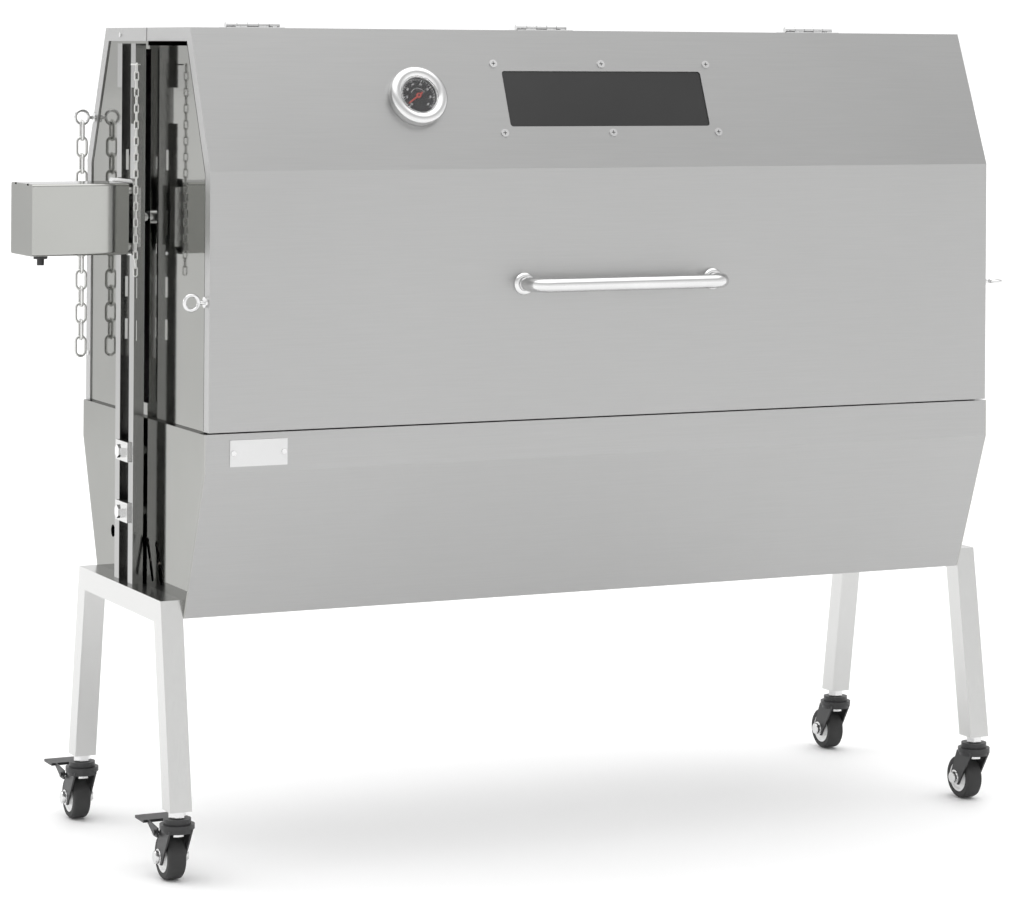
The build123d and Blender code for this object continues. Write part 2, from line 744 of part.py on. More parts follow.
def motorHousing():
    z0 = spitHeight - motorHeight / 2
    shell = block(housingFace, motorEnd, -motorHalfWidth, motorHalfWidth, z0, z0 + motorHeight)
    shell = fillet(shell.edges().filter_by(Axis.X), 3.0)
    w = motorWall
    shell = shell - block(housingFace + w, motorEnd + 1, -motorHalfWidth + w, motorHalfWidth - w, z0 + w,
                          z0 + motorHeight - w)
    shell = drilled(shell, (housingFace - 5, 0, spitHeight), (1, 0, 0), socketRadius + 1, 20)
    bosses = []
    for y in (-28, 28):
        for dz in (-30, 30):
            bosses.append(rod((plateOut, y, spitHeight + dz), (1, 0, 0), 5.0, housingFace - plateOut))
    shell = joined([shell] + bosses)
    switchCut = block(switchX - 6, switchX + 6, motorHalfWidth - 3, motorHalfWidth + 3, spitHeight - 10, spitHeight + 10)
    shell = shell - switchCut
    return drilled(shell, (motorEnd - 20, 0, z0 - 5), (0, 0, 1), 4.0, 10)


switchX = housingFace + 75.0


def motorCap():
    z0 = spitHeight - motorHeight / 2
    cap = block(motorEnd, motorEnd + 2, -motorHalfWidth, motorHalfWidth, z0, z0 + motorHeight)
    cap = fillet(cap.edges().filter_by(Axis.X), 3.0)
    w = motorWall + 0.4
    rim = block(motorEnd - 6, motorEnd, -motorHalfWidth + w, motorHalfWidth - w, z0 + w, z0 + motorHeight - w)
    inner = w + 1.2
    rim = rim - block(motorEnd - 8, motorEnd, -motorHalfWidth + inner, motorHalfWidth - inner, z0 + inner,
                      z0 + motorHeight - inner)
    for y in (-22, 22):
        cap = cap - block(motorEnd - 1, motorEnd + 3, y - 3, y + 3, z0 + motorHeight - 2, z0 + motorHeight + 1)
    return cap + rim


def gearMotor():
    x0 = housingFace + motorWall
    case = block(x0, x0 + 34, -30, 30, spitHeight - 30, spitHeight + 30)
    case = case - rod((x0 - 1, 0, spitHeight), (1, 0, 0), socketRadius + runFit, 31)
    return case + rod((x0 + 34, 0, spitHeight), (1, 0, 0), 22.0, 55.0)


def cableGland():
    z0 = spitHeight - motorHeight / 2
    x = motorEnd - 20
    body = rod((x, 0, z0 + motorWall + 4), (0, 0, -1), 4.0, motorWall + 16)
    collar = hexRod((x, 0, z0), (0, 0, -1), 14.0, 5.0)
    lock = rod((x, 0, z0 + motorWall), (0, 0, 1), 7.0, 3.0)
    return body + collar + lock - rod((x, 0, z0 - 20), (0, 0, 1), 2.5, 40)


def motorSwitch():
    y = motorHalfWidth
    rocker = block(switchX - 5.5, switchX + 5.5, y - 2.5, y + 2.0, spitHeight - 9, spitHeight + 9)
    pin = rod((switchX - 5.5, y - 2.0, spitHeight), (1, 0, 0), 1.2, 11)
    return rocker + pin


def spitRod():
    left = -(housingFace + 4.0)
    bar = rod((left, 0, spitHeight), (1, 0, 0), spitRadius, spitLength - crankLength)
    bar = bar + rod((left, 0, spitHeight), (1, 0, 0), crankRadius, spitLength)
    tang = block(left - 22, left, -squareSize / 2, squareSize / 2, spitHeight - squareSize / 2,
                 spitHeight + squareSize / 2)
    return bar + tang


def driveSocket():
    x0 = housingFace + 4.0
    body = rod((x0, 0, spitHeight), (1, 0, 0), socketRadius, 26.0)
    hole = block(x0 - 1, x0 + 22, -squareSize / 2, squareSize / 2, spitHeight - squareSize / 2,
                 spitHeight + squareSize / 2)
    return mirrorX(body - hole)


forkHub = 28.0
forkX = 300.0


def spitFork():
    hub = rod((forkX, 0, spitHeight), (1, 0, 0), 16.0, forkHub)
    cross = block(forkX + 4, forkX + 12, -forkSpread - 4, forkSpread + 4, spitHeight - 5, spitHeight + 5)
    tines = []
    for side in (-1, 1):
        y = side * forkSpread
        tines.append(rod((forkX + 4 - forkReach, y, spitHeight), (1, 0, 0), 3.5, forkReach))
        tip = Plane(origin=(forkX + 4 - forkReach, y, spitHeight), z_dir=(-1, 0, 0)) * Cone(
            3.5, 0.6, 18, align=(Align.CENTER, Align.CENTER, Align.MIN))
        tines.append(tip)
    body = joined([hub, cross] + tines)
    body = drilled(body, (forkX - 5, 0, spitHeight), (1, 0, 0), spitRadius + runFit, forkHub + 10)
    return drilled(body, (forkX + 20, 0, spitHeight), (0, 0, 1), 3.0 + runFit, 20)


def forkScrew():
    at = (forkX + 20, 0, spitHeight + spitRadius + 0.4)
    knob = rod((forkX + 20, 0, spitHeight + 20), (0, 0, 1), 8.0, 7.0)
    return rod(at, (0, 0, 1), 3.0, 13.0) + knob


def bothSides(left, right):
    return apart([left, right])


def allParts():
    casters = {}
    stems = []
    for tag, sx, sy in (("fl", -1, -1), ("rl", -1, 1), ("rr", 1, 1), ("fr", 1, -1)):
        x = sx * legCentreX
        y = sy * legCentreY
        stems.append(casterStem(x, y))
        fork = [casterFork(x, y), axleBolt(x, y)]
        if sx < 0:
            fork.append(pedalPin(x, y, -1))
            fork.append(pedalPin(x, y, 1))
            casters["brake_pedal_" + tag] = brakePedal(x, y)
        casters["caster_fork_" + tag] = apart(fork)
        casters["caster_wheel_" + tag] = casterWheel(x, y)
    end = fireboxEnd()
    panel = hoodEnd()
    column = post()
    legs = legFrame()
    straps = [postStrap(z) for z in strapHeights]
    support = grateSupport()
    fork = spitFork()
    screw = forkScrew()
    parts = {
        "firebox_trough": fireboxTrough(),
        "firebox_end_left": mirrorX(end),
        "firebox_end_right": end,
        "charcoal_grate": charcoalGrate(),
        "grate_supports": bothSides(mirrorX(support), support),
        "hood_rear": hoodRear(),
        "hood_end_left": mirrorX(panel),
        "hood_end_right": panel,
        "hinge_leaves_rear": apart([hingeLeaf(x, 1) for x in hingeCentres]),
        "hinge_pins": apart([hingePin(x) for x in hingeCentres]),
        "post_left": mirrorX(column),
        "post_right": column,
        "post_straps": apart([mirrorX(s) for s in straps] + straps),
        "frame_bolts": frameBolts(),
        "leg_frame_left": mirrorX(legs),
        "leg_frame_right": legs,
        "rear_eyebolts": rearEyebolts(),
        "nameplate": nameplate(),
        "caster_stems": apart(stems),
        "lid_shell": lidShell(),
        "window_glass": windowGlass(),
        "window_gasket": windowGasket(),
        "lid_screws": lidScrews(),
        "thermometer_case": thermometerCase(),
        "thermometer_dial": thermometerDial(),
        "thermometer_glass": thermometerGlass(),
        "thermometer_needle": thermometerNeedle(),
        "lid_handle": lidHandle(),
        "handle_collars": apart([handleCollar(-1), handleCollar(1)]),
        "hinge_leaves_lid": apart([hingeLeaf(x, -1) for x in hingeCentres]),
        "lid_eyebolts": lidEyebolts(),
        "lid_chain_left": lidChain(-1),
        "lid_chain_right": lidChain(1),
        "key_chains": apart([keyChain(-1), keyChain(1)]),
        "carriage_left": mirrorX(carriage(socketRadius + 1)),
        "carriage_right": carriage(14.0),
        "height_key_left": mirrorX(heightKey()),
        "height_key_right": heightKey(),
        "spit_bush": spitBush(),
        "motor_housing": mirrorX(motorHousing()),
        "motor_cap": mirrorX(motorCap()),
        "gear_motor": mirrorX(gearMotor()),
        "cable_gland": mirrorX(cableGland()),
        "motor_switch": mirrorX(motorSwitch()),
        "spit_rod": spitRod(),
        "drive_socket": driveSocket(),
        "fork_left": mirrorX(fork),
        "fork_right": fork,
        "fork_screw_left": mirrorX(screw),
        "fork_screw_right": screw,
    }
    parts.update(casters)
    return parts


def centreShift(parts):
    boxes = [shape.bounding_box() for shape in parts.values()]
    shift = []
    for axis in ("X", "Y"):
        low = min(getattr(b.min, axis) for b in boxes)
        high = max(getattr(b.max, axis) for b in boxes)
        shift.append(-(low + high) / 2)
    return shift


def main():
    os.makedirs("parts", exist_ok=True)
    parts = allParts()
    shift = centreShift(parts)
    for name, shape in parts.items():
        place = Location((shift[0], shift[1], 0))
        solids = [solid.moved(place) for solid in shape.solids()]
        export_step(solids[0] if len(solids) == 1 else Compound(children=solids), "parts/" + name + ".step")
    print(len(parts), "nodes, moved by", [round(v, 3) for v in shift])


if __name__ == "__main__":
    main()
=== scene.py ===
import math

import bmesh
import bpy
from mathutils import Matrix, Vector


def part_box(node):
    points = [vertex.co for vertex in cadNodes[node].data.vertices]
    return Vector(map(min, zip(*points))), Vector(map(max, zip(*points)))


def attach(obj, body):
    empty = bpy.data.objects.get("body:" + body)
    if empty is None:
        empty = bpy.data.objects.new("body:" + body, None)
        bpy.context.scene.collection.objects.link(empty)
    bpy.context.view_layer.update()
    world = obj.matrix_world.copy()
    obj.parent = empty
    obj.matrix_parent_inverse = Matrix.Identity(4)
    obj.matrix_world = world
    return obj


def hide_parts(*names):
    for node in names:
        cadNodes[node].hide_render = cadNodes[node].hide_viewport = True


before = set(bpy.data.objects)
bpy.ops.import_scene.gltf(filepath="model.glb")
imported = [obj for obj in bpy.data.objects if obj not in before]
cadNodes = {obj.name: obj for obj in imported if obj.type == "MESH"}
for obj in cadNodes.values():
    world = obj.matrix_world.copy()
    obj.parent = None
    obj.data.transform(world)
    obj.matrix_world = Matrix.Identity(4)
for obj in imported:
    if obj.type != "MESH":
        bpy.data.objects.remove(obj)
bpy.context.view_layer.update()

# distances in metres, counted from the middle of the firebox on the floor
fireLow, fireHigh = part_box("firebox_trough")
shiftX = (fireLow.x + fireHigh.x) / 2
shiftY = (fireLow.y + fireHigh.y) / 2
lidFront = -0.206
ridgeFront = -0.141
ridge = 0.920


def place(x, y, z):
    return Vector((x + shiftX, y + shiftY, z))


# shader helpers


class Value:
    def __init__(self, tree, socket):
        self.tree = tree
        self.socket = socket

    def maths(self, operation, other):
        node = self.tree.nodes.new("ShaderNodeMath")
        node.operation = operation
        for slot, item in enumerate((self, other)):
            if isinstance(item, Value):
                self.tree.links.new(item.socket, node.inputs[slot])
            else:
                node.inputs[slot].default_value = item
        return Value(self.tree, node.outputs[0])

    def __add__(self, other):
        return self.maths("ADD", other)

    def __mul__(self, other):
        return self.maths("MULTIPLY", other)


class Shader:
    def __init__(self, name):
        self.material = bpy.data.materials.new(name)
        self.material.use_nodes = True
        self.tree = self.material.node_tree
        self.principled = self.tree.nodes["Principled BSDF"]

    def node(self, kind, inputs=None, output=0):
        made = self.tree.nodes.new(kind)
        for key, value in (inputs or {}).items():
            if isinstance(value, Value):
                self.tree.links.new(value.socket, made.inputs[key])
            else:
                made.inputs[key].default_value = value
        return Value(self.tree, made.outputs[output])

    def blend(self, factor, dark, light):
        made = self.tree.nodes.new("ShaderNodeMix")
        made.data_type = "RGBA"
        self.tree.links.new(factor.socket, made.inputs[0])
        made.inputs[6].default_value = (*dark, 1)
        made.inputs[7].default_value = (*light, 1)
        return Value(self.tree, made.outputs[2])

    def feed(self, name, value):
        if isinstance(value, Value):
            self.tree.links.new(value.socket, self.principled.inputs[name])
        else:
            self.principled.inputs[name].default_value = value

    def coords(self, scale):
        at = self.node("ShaderNodeTexCoord", output="Object")
        return self.node("ShaderNodeMapping", inputs={"Vector": at, "Scale": scale})

    def noise(self, scale, size, detail=6.0):
        at = self.coords(scale)
        inputs = {"Vector": at, "Scale": size, "Detail": detail}
        return self.node("ShaderNodeTexNoise", inputs=inputs)


surface = {"grainShare": 0.6, "patchShare": 0.4, "patchDetail": 3.0, "bumpHeight": 0.0004}


def metal(name, style):
    shade = Shader(name)
    grain = shade.noise(style["grain"], style["grainSize"])
    broad = shade.noise((1, 1, 1), style["patch"], surface["patchDetail"])
    mixed = grain * surface["grainShare"] + broad * surface["patchShare"]
    shade.feed("Base Color", shade.blend(mixed, style["dark"], style["light"]))
    shade.feed("Metallic", style.get("metallic", 1.0))
    edge = style.get("edge", 1.0)
    shade.feed("Specular Tint", (edge, edge, edge, 1.0))
    spread = style["roughSpread"]
    shade.feed("Roughness", broad * spread + grain * spread + style["rough"])
    relief = {"Height": mixed, "Strength": style["bump"], "Distance": surface["bumpHeight"]}
    shade.feed("Normal", shade.node("ShaderNodeBump", inputs=relief))
    return shade.material


panelSteel = metal("satin_panel", {
    "grain": (1, 60, 60), "grainSize": 16.0, "patch": 3.0, "dark": (0.375, 0.375, 0.373),
    "light": (0.455, 0.455, 0.452), "rough": 0.28, "roughSpread": 0.06, "bump": 0.03})
mirrorSteel = metal("mirror_panel", {
    "grain": (1, 1, 1), "grainSize": 12.0, "patch": 2.0, "dark": (0.365, 0.368, 0.352),
    "light": (0.45, 0.452, 0.435), "rough": 0.03, "roughSpread": 0.03, "bump": 0.008, "edge": 0.55})
tubeSteel = metal("tube_steel", {
    "grain": (40, 40, 1), "grainSize": 18.0, "patch": 5.0, "dark": (0.52, 0.52, 0.515),
    "light": (0.62, 0.62, 0.612), "rough": 0.16, "roughSpread": 0.08, "bump": 0.02})
channelSteel = metal("channel_steel", {
    "grain": (30, 30, 1), "grainSize": 18.0, "patch": 5.0, "dark": (0.27, 0.27, 0.266),
    "light": (0.38, 0.38, 0.374), "rough": 0.08, "roughSpread": 0.06, "bump": 0.015})
brightSteel = metal("bright_fittings", {
    "grain": (1, 1, 1), "grainSize": 60.0, "patch": 20.0, "dark": (0.62, 0.62, 0.62),
    "light": (0.78, 0.78, 0.78), "rough": 0.07, "roughSpread": 0.06, "bump": 0.02})
zincSteel = metal("zinc_chain", {
    "grain": (1, 1, 1), "grainSize": 90.0, "patch": 30.0, "dark": (0.55, 0.55, 0.54),
    "light": (0.75, 0.75, 0.735), "rough": 0.18, "roughSpread": 0.12, "bump": 0.05})
burntSteel = metal("heat_darkened", {
    "grain": (1, 1, 1), "grainSize": 40.0, "patch": 12.0, "dark": (0.10, 0.09, 0.08),
    "light": (0.24, 0.22, 0.20), "rough": 0.4, "roughSpread": 0.2, "bump": 0.2})
bushBrass = metal("bush_brass", {
    "grain": (1, 30, 30), "grainSize": 20.0, "patch": 12.0, "dark": (0.55, 0.38, 0.15),
    "light": (0.75, 0.55, 0.25), "rough": 0.2, "roughSpread": 0.1, "bump": 0.05})
blackPaint = metal("black_paint", {
    "grain": (1, 1, 1), "grainSize": 140.0, "patch": 20.0, "dark": (0.012, 0.012, 0.012),
    "light": (0.035, 0.035, 0.037), "rough": 0.28, "roughSpread": 0.14, "bump": 0.15, "metallic": 0.0})
blackRubber = metal("black_rubber", {
    "grain": (1, 1, 1), "grainSize": 160.0, "patch": 25.0, "dark": (0.012, 0.012, 0.012),
    "light": (0.04, 0.04, 0.04), "rough": 0.5, "roughSpread": 0.2, "bump": 0.25, "metallic": 0.0})
greyPlastic = metal("grey_hub", {
    "grain": (1, 1, 1), "grainSize": 120.0, "patch": 20.0, "dark": (0.74, 0.74, 0.74),
    "light": (0.86, 0.86, 0.86), "rough": 0.35, "roughSpread": 0.1, "bump": 0.1, "metallic": 0.0})
plateFace = metal("plate_face", {
    "grain": (60, 1, 60), "grainSize": 20.0, "patch": 30.0, "dark": (0.62, 0.62, 0.62),
    "light": (0.72, 0.72, 0.72), "rough": 0.35, "roughSpread": 0.1, "bump": 0.05, "metallic": 0.6})
# painted shade: near-black finish for the screw crosses, standing in for the shadow inside the screw
# recesses
paintedRecessShade = metal("painted_recess_shade", {
    "grain": (1, 1, 1), "grainSize": 200.0, "patch": 60.0, "dark": (0.04, 0.04, 0.04),
    "light": (0.10, 0.10, 0.10), "rough": 0.5, "roughSpread": 0.1, "bump": 0.02, "metallic": 0.5})
dialBlack = metal("dial_black", {
    "grain": (1, 1, 1), "grainSize": 200.0, "patch": 40.0, "dark": (0.006, 0.006, 0.007),
    "light": (0.02, 0.02, 0.022), "rough": 0.35, "roughSpread": 0.1, "bump": 0.05, "metallic": 0.0})
dialWhite = metal("dial_white", {
    "grain": (1, 1, 1), "grainSize": 300.0, "patch": 60.0, "dark": (0.70, 0.70, 0.70),
    "light": (0.85, 0.85, 0.85), "rough": 0.5, "roughSpread": 0.1, "bump": 0.02, "metallic": 0.0})
needleRed = metal("needle_red", {
    "grain": (1, 1, 1), "grainSize": 300.0, "patch": 60.0, "dark": (0.35, 0.05, 0.04),
    "light": (0.5, 0.09, 0.07), "rough": 0.35, "roughSpread": 0.1, "bump": 0.02, "metallic": 0.0})


def glassMaterial(name, style):
    shade = Shader(name)
    broad = shade.noise((1, 1, 1), style["patch"], surface["patchDetail"])
    shade.feed("Base Color", shade.blend(broad, style["dark"], style["light"]))
    shade.feed("Roughness", broad * style["roughSpread"] + style["rough"])
    shade.feed("Transmission Weight", style["through"])
    shade.feed("Coat Weight", style["coat"])
    shade.feed("IOR", style["bend"])
    shade.feed("Alpha", style["alpha"])
    return shade.material


windowTint = glassMaterial("window_tint", {
    "dark": (0.012, 0.012, 0.012), "light": (0.03, 0.03, 0.03), "patch": 5.0, "rough": 0.03,
    "roughSpread": 0.04, "through": 0.0, "coat": 0.3, "bend": 1.45, "alpha": 1.0})
gaugeGlass = glassMaterial("gauge_glass", {
    "dark": (0.9, 0.9, 0.9), "light": (1.0, 1.0, 1.0), "patch": 5.0, "rough": 0.01,
    "roughSpread": 0.04, "through": 1.0, "coat": 0.3, "bend": 1.45, "alpha": 0.25})

finishes = [
    (panelSteel, ["firebox_trough", "hood_rear", "lid_shell"]),
    (plateFace, ["nameplate"]),
    (mirrorSteel, ["firebox_end_left", "firebox_end_right", "hood_end_left", "hood_end_right",
                   "motor_housing", "motor_cap"]),
    (tubeSteel, ["leg_frame_left", "leg_frame_right", "carriage_left", "carriage_right",
                 "height_key_left", "height_key_right", "post_straps"]),
    (channelSteel, ["post_left", "post_right"]),
    (brightSteel, ["lid_handle", "handle_collars", "hinge_leaves_rear", "hinge_leaves_lid",
                   "hinge_pins", "frame_bolts", "lid_screws", "lid_eyebolts", "rear_eyebolts",
                   "caster_stems", "thermometer_case", "spit_rod", "fork_left", "fork_right",
                   "fork_screw_left", "fork_screw_right", "drive_socket"]),
    (zincSteel, ["lid_chain_left", "lid_chain_right", "key_chains"]),
    (burntSteel, ["charcoal_grate", "grate_supports", "gear_motor"]),
    (bushBrass, ["spit_bush"]),
    (blackPaint, ["window_gasket", "cable_gland", "motor_switch", "caster_fork_fl",
                  "caster_fork_rl", "caster_fork_rr", "caster_fork_fr", "brake_pedal_fl",
                  "brake_pedal_rl"]),
    (blackRubber, ["caster_wheel_fl", "caster_wheel_rl", "caster_wheel_rr", "caster_wheel_fr"]),
    (dialBlack, ["thermometer_dial"]),
    (needleRed, ["thermometer_needle"]),
    (windowTint, ["window_glass"]),
    (gaugeGlass, ["thermometer_glass"]),
]
for material, nodes in finishes:
    for name in nodes:
        slots = cadNodes[name].data.materials
        slots.clear()
        slots.append(material)
print("finishes set")

# pieces drawn here


def addMesh(name, work, material, body, smooth=35.0):
    mesh = bpy.data.meshes.new(name)
    bmesh.ops.remove_doubles(work, verts=work.verts[:], dist=0.000001)
    bmesh.ops.recalc_face_normals(work, faces=work.faces[:])
    work.to_mesh(mesh)
    work.free()
    made = bpy.data.objects.new(name, mesh)
    bpy.context.scene.collection.objects.link(made)
    mesh.materials.append(material)
    mesh.shade_smooth()
    if smooth:
        mesh.set_sharp_from_angle(angle=math.radians(smooth))
    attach(made, body)
    return made


def lathe(work, centre, axis, profile, steps=96):
    # profile holds (distance along the axis, radius) pairs and closes on the axis or on itself
    turn = Vector(axis).normalized().to_track_quat("Z", "Y").to_matrix()
    rings = []
    for along, radius in profile:
        ring = []
        count = 1 if radius == 0 else steps
        for i in range(count):
            a = 2 * math.pi * i / steps
            point = Vector((radius * math.cos(a), radius * math.sin(a), along))
            ring.append(work.verts.new(centre + turn @ point))
        rings.append(ring)
    closed = profile[0][1] > 0 and profile[-1][1] > 0
    pairs = list(zip(rings, rings[1:])) + ([(rings[-1], rings[0])] if closed else [])
    for first, second in pairs:
        for i in range(steps):
            j = (i + 1) % steps
            corners = [first[i % len(first)], first[j % len(first)]]
            corners += [second[j % len(second)], second[i % len(second)]]
            corners = list(dict.fromkeys(corners))
            if len(corners) > 2:
                work.faces.new(corners)


wheel = {"radius": 0.025, "half": 0.010, "trail": 0.020, "x": 0.5065, "y": 0.1615,
         "corners": (("fl", -1, -1), ("rl", -1, 1), ("rr", 1, 1), ("fr", 1, -1))}


def wheelCentre(sideX, sideY):
    return place(sideX * wheel["x"], sideY * wheel["y"] + wheel["trail"], wheel["radius"])


def casterWheels():
    r = wheel["radius"]
    h = wheel["half"]
    tread = [(-h, 0.0172), (-h, 0.0225), (-h + 0.0015, 0.0243), (-h + 0.004, r - 0.0001),
             (h - 0.004, r - 0.0001), (h - 0.0015, 0.0243), (h, 0.0225), (h, 0.0172)]
    hub = [(-h - 0.0008, 0.0043), (-h - 0.0008, 0.0082), (-h + 0.0012, 0.0090), (-h + 0.0026, 0.0105),
           (-h + 0.0026, 0.0140), (-h + 0.0008, 0.0152), (-h + 0.0004, 0.0171), (h - 0.0004, 0.0171),
           (h - 0.0008, 0.0152), (h - 0.0026, 0.0140), (h - 0.0026, 0.0105), (h - 0.0012, 0.0090),
           (h + 0.0008, 0.0082), (h + 0.0008, 0.0043)]
    for tag, sideX, sideY in wheel["corners"]:
        centre = wheelCentre(sideX, sideY)
        work = bmesh.new()
        lathe(work, centre, (1, 0, 0), tread)
        tyre = addMesh("tyre_" + tag, work, blackRubber, "wheel_" + tag)
        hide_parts("caster_wheel_" + tag)
        work = bmesh.new()
        lathe(work, centre, (1, 0, 0), hub)
        addMesh("hub_" + tag, work, greyPlastic, "wheel_" + tag)


casterWheels()
print("wheels")

slopeRun = 0.065
slopeDrop = 0.154
slopeSpan = math.hypot(slopeRun, slopeDrop)
slopeOut = Vector((0, -slopeDrop, slopeRun)) / slopeSpan
slopeUp = Vector((0, slopeRun, slopeDrop)) / slopeSpan


def onSlope(x, drop, lift=0.0):
    return place(x, ridgeFront, ridge) - slopeUp * drop + slopeOut * lift


gauge = {"x": -0.236, "drop": 0.0823, "bezel": 0.034, "dial": 0.0205, "stem": 0.0029, "neck": 0.0049}


def gaugeBezel():
    b = gauge["bezel"]
    d = gauge["dial"]
    s = gauge["stem"]
    n = gauge["neck"]
    profile = [(-0.060, 0.0), (-0.060, s - 0.0005), (-0.0595, s), (-0.016, s), (-0.0158, n), (0.0, n),
               (0.0, b - 0.0008), (0.0006, b - 0.0001), (0.0075, b - 0.0001), (0.0095, b - 0.0008),
               (0.0112, b - 0.0028), (0.0119, b - 0.0052), (0.0119, d + 0.0052), (0.0112, d + 0.0032),
               (0.0100, d + 0.0017), (0.0090, d + 0.0016), (0.0090, d + 0.0001), (0.0051, d + 0.0001),
               (0.0051, 0.0)]
    work = bmesh.new()
    lathe(work, onSlope(gauge["x"], gauge["drop"]), slopeOut, profile, 128)
    made = addMesh("gauge_bezel", work, brightSteel, "lid")
    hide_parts("thermometer_case")


# raised print on the dial, as (inner radius, outer radius, width); angles in degrees
marks = {"lift": 0.00605, "raised": 0.00012, "start": 225, "sweep": 270, "count": 28, "every": 4,
         "long": (0.0168, 0.0196, 0.0008), "short": (0.0178, 0.0196, 0.0004),
         "figure": (0.0132, 0.0152, 0.00055), "figureTurns": (-4, 0, 4),
         "band": (0.0193, 0.0196, 0.0024), "bandCount": 40, "bandTurn": -3,
         "arc": (0.0085, 0.0089, 0.0014), "arcStart": 150, "arcSweep": 120, "arcSteps": 15}


def gaugeMarks():
    work = bmesh.new()
    centre = onSlope(gauge["x"], gauge["drop"], marks["lift"])
    side = Vector((1, 0, 0))

    def tick(angle, shape):
        inner, outer, width = marks[shape]
        a = math.radians(angle)
        out = side * math.cos(a) + slopeUp * math.sin(a)
        across = slopeOut.cross(out)
        corners = []
        for lift in (0, marks["raised"]):
            for along, turn in ((inner, -1), (outer, -1), (outer, 1), (inner, 1)):
                corner = centre + out * along + across * turn * width / 2 + slopeOut * lift
                corners.append(work.verts.new(corner))
        for face in ((3, 2, 1, 0), (4, 5, 6, 7), (0, 1, 5, 4), (1, 2, 6, 5), (2, 3, 7, 6), (3, 0, 4, 7)):
            work.faces.new([corners[i] for i in face])

    for i in range(marks["count"] + 1):
        angle = marks["start"] - marks["sweep"] * i / marks["count"]
        figured = i % marks["every"] == 0
        tick(angle, "long" if figured else "short")
        if figured:
            for turn in marks["figureTurns"]:
                tick(angle + turn, "figure")
    for i in range(marks["bandCount"]):
        angle = marks["start"] - marks["sweep"] * i / marks["bandCount"]
        tick(angle + marks["bandTurn"], "band")
    for i in range(marks["arcSteps"] + 1):
        tick(marks["arcStart"] - marks["arcSweep"] * i / marks["arcSteps"], "arc")
    addMesh("gauge_marks", work, dialWhite, "lid", 0)


gaugeBezel()
gaugeMarks()
print("gauge")


def sweepTube(work, points, radius, steps=32):
    rings = []
    reference = Vector((0, 0, 1))
    for i, point in enumerate(points):
        before = points[max(i - 1, 0)]
        after = points[min(i + 1, len(points) - 1)]
        along = (after - before).normalized()
        across = along.cross(reference).normalized()
        lift = across.cross(along).normalized()
        ring = []
        for k in range(steps):
            a = 2 * math.pi * k / steps
            ring.append(work.verts.new(point + (across * math.cos(a) + lift * math.sin(a)) * radius))
        rings.append(ring)
    for first, second in zip(rings, rings[1:]):
        for k in range(steps):
            work.faces.new([first[k], first[(k + 1) % steps], second[(k + 1) % steps], second[k]])
    for ring in (rings[0], rings[-1]):
        work.faces.new(ring)


handle = {"half": 0.119, "z": 0.638, "reach": 0.038, "radius": 0.00795, "bend": 0.018, "bendSteps": 12}


def lidHandle():
    y0 = lidFront - 0.0001
    y1 = lidFront - handle["reach"]
    b = handle["bend"]
    points = []
    for side in (-1, 1):
        leg = [place(side * handle["half"], y0, handle["z"])]
        for i in range(handle["bendSteps"] + 1):
            a = math.pi / 2 * i / handle["bendSteps"]
            x = side * (handle["half"] - b + b * math.cos(a))
            leg.append(place(x, y1 + b - b * math.sin(a), handle["z"]))
        points.extend(leg if side < 0 else leg[::-1])
    work = bmesh.new()
    sweepTube(work, points, handle["radius"], 48)
    made = addMesh("handle_bar", work, brightSteel, "lid", 50)
    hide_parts("lid_handle")
    profile = [(0.0, 0.0081), (0.0, 0.0124), (0.0035, 0.01245), (0.0052, 0.0112), (0.0059, 0.0095),
               (0.0059, 0.0081)]
    work = bmesh.new()
    for side in (-1, 1):
        lathe(work, place(side * handle["half"], lidFront, handle["z"]), (0, -1, 0), profile, 64)
    collars = addMesh("handle_collar_pair", work, brightSteel, "lid")
    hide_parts("handle_collars")


lidHandle()
print("handle")

axle = {"half": 0.0135, "head": 0.0052, "radius": 0.00705, "flange": 0.0016, "chamfer": 0.0008}


def axleCaps():
    out = axle["half"]
    end = out + axle["head"]
    r = axle["radius"]
    rim = r + axle["flange"]
    c = axle["chamfer"]
    profile = [(out, 0.0), (out, rim), (out + c, rim), (out + 0.0010, r), (end - c, r), (end, r - c),
               (end, 0.0)]
    for tag, sideX, sideY in wheel["corners"]:
        work = bmesh.new()
        for side in (-1, 1):
            lathe(work, wheelCentre(sideX, sideY), (side, 0, 0), profile, 48)
        addMesh("axle_cap_" + tag, work, brightSteel, "caster_" + tag)


axleCaps()

screw = {"spots": [(x, s) for x in (-0.1355, 0.0, 0.1355) for s in (0.0413, 0.125)], "lift": 0.00135,
         "long": 0.0046, "wide": 0.0009, "deep": 0.0002}


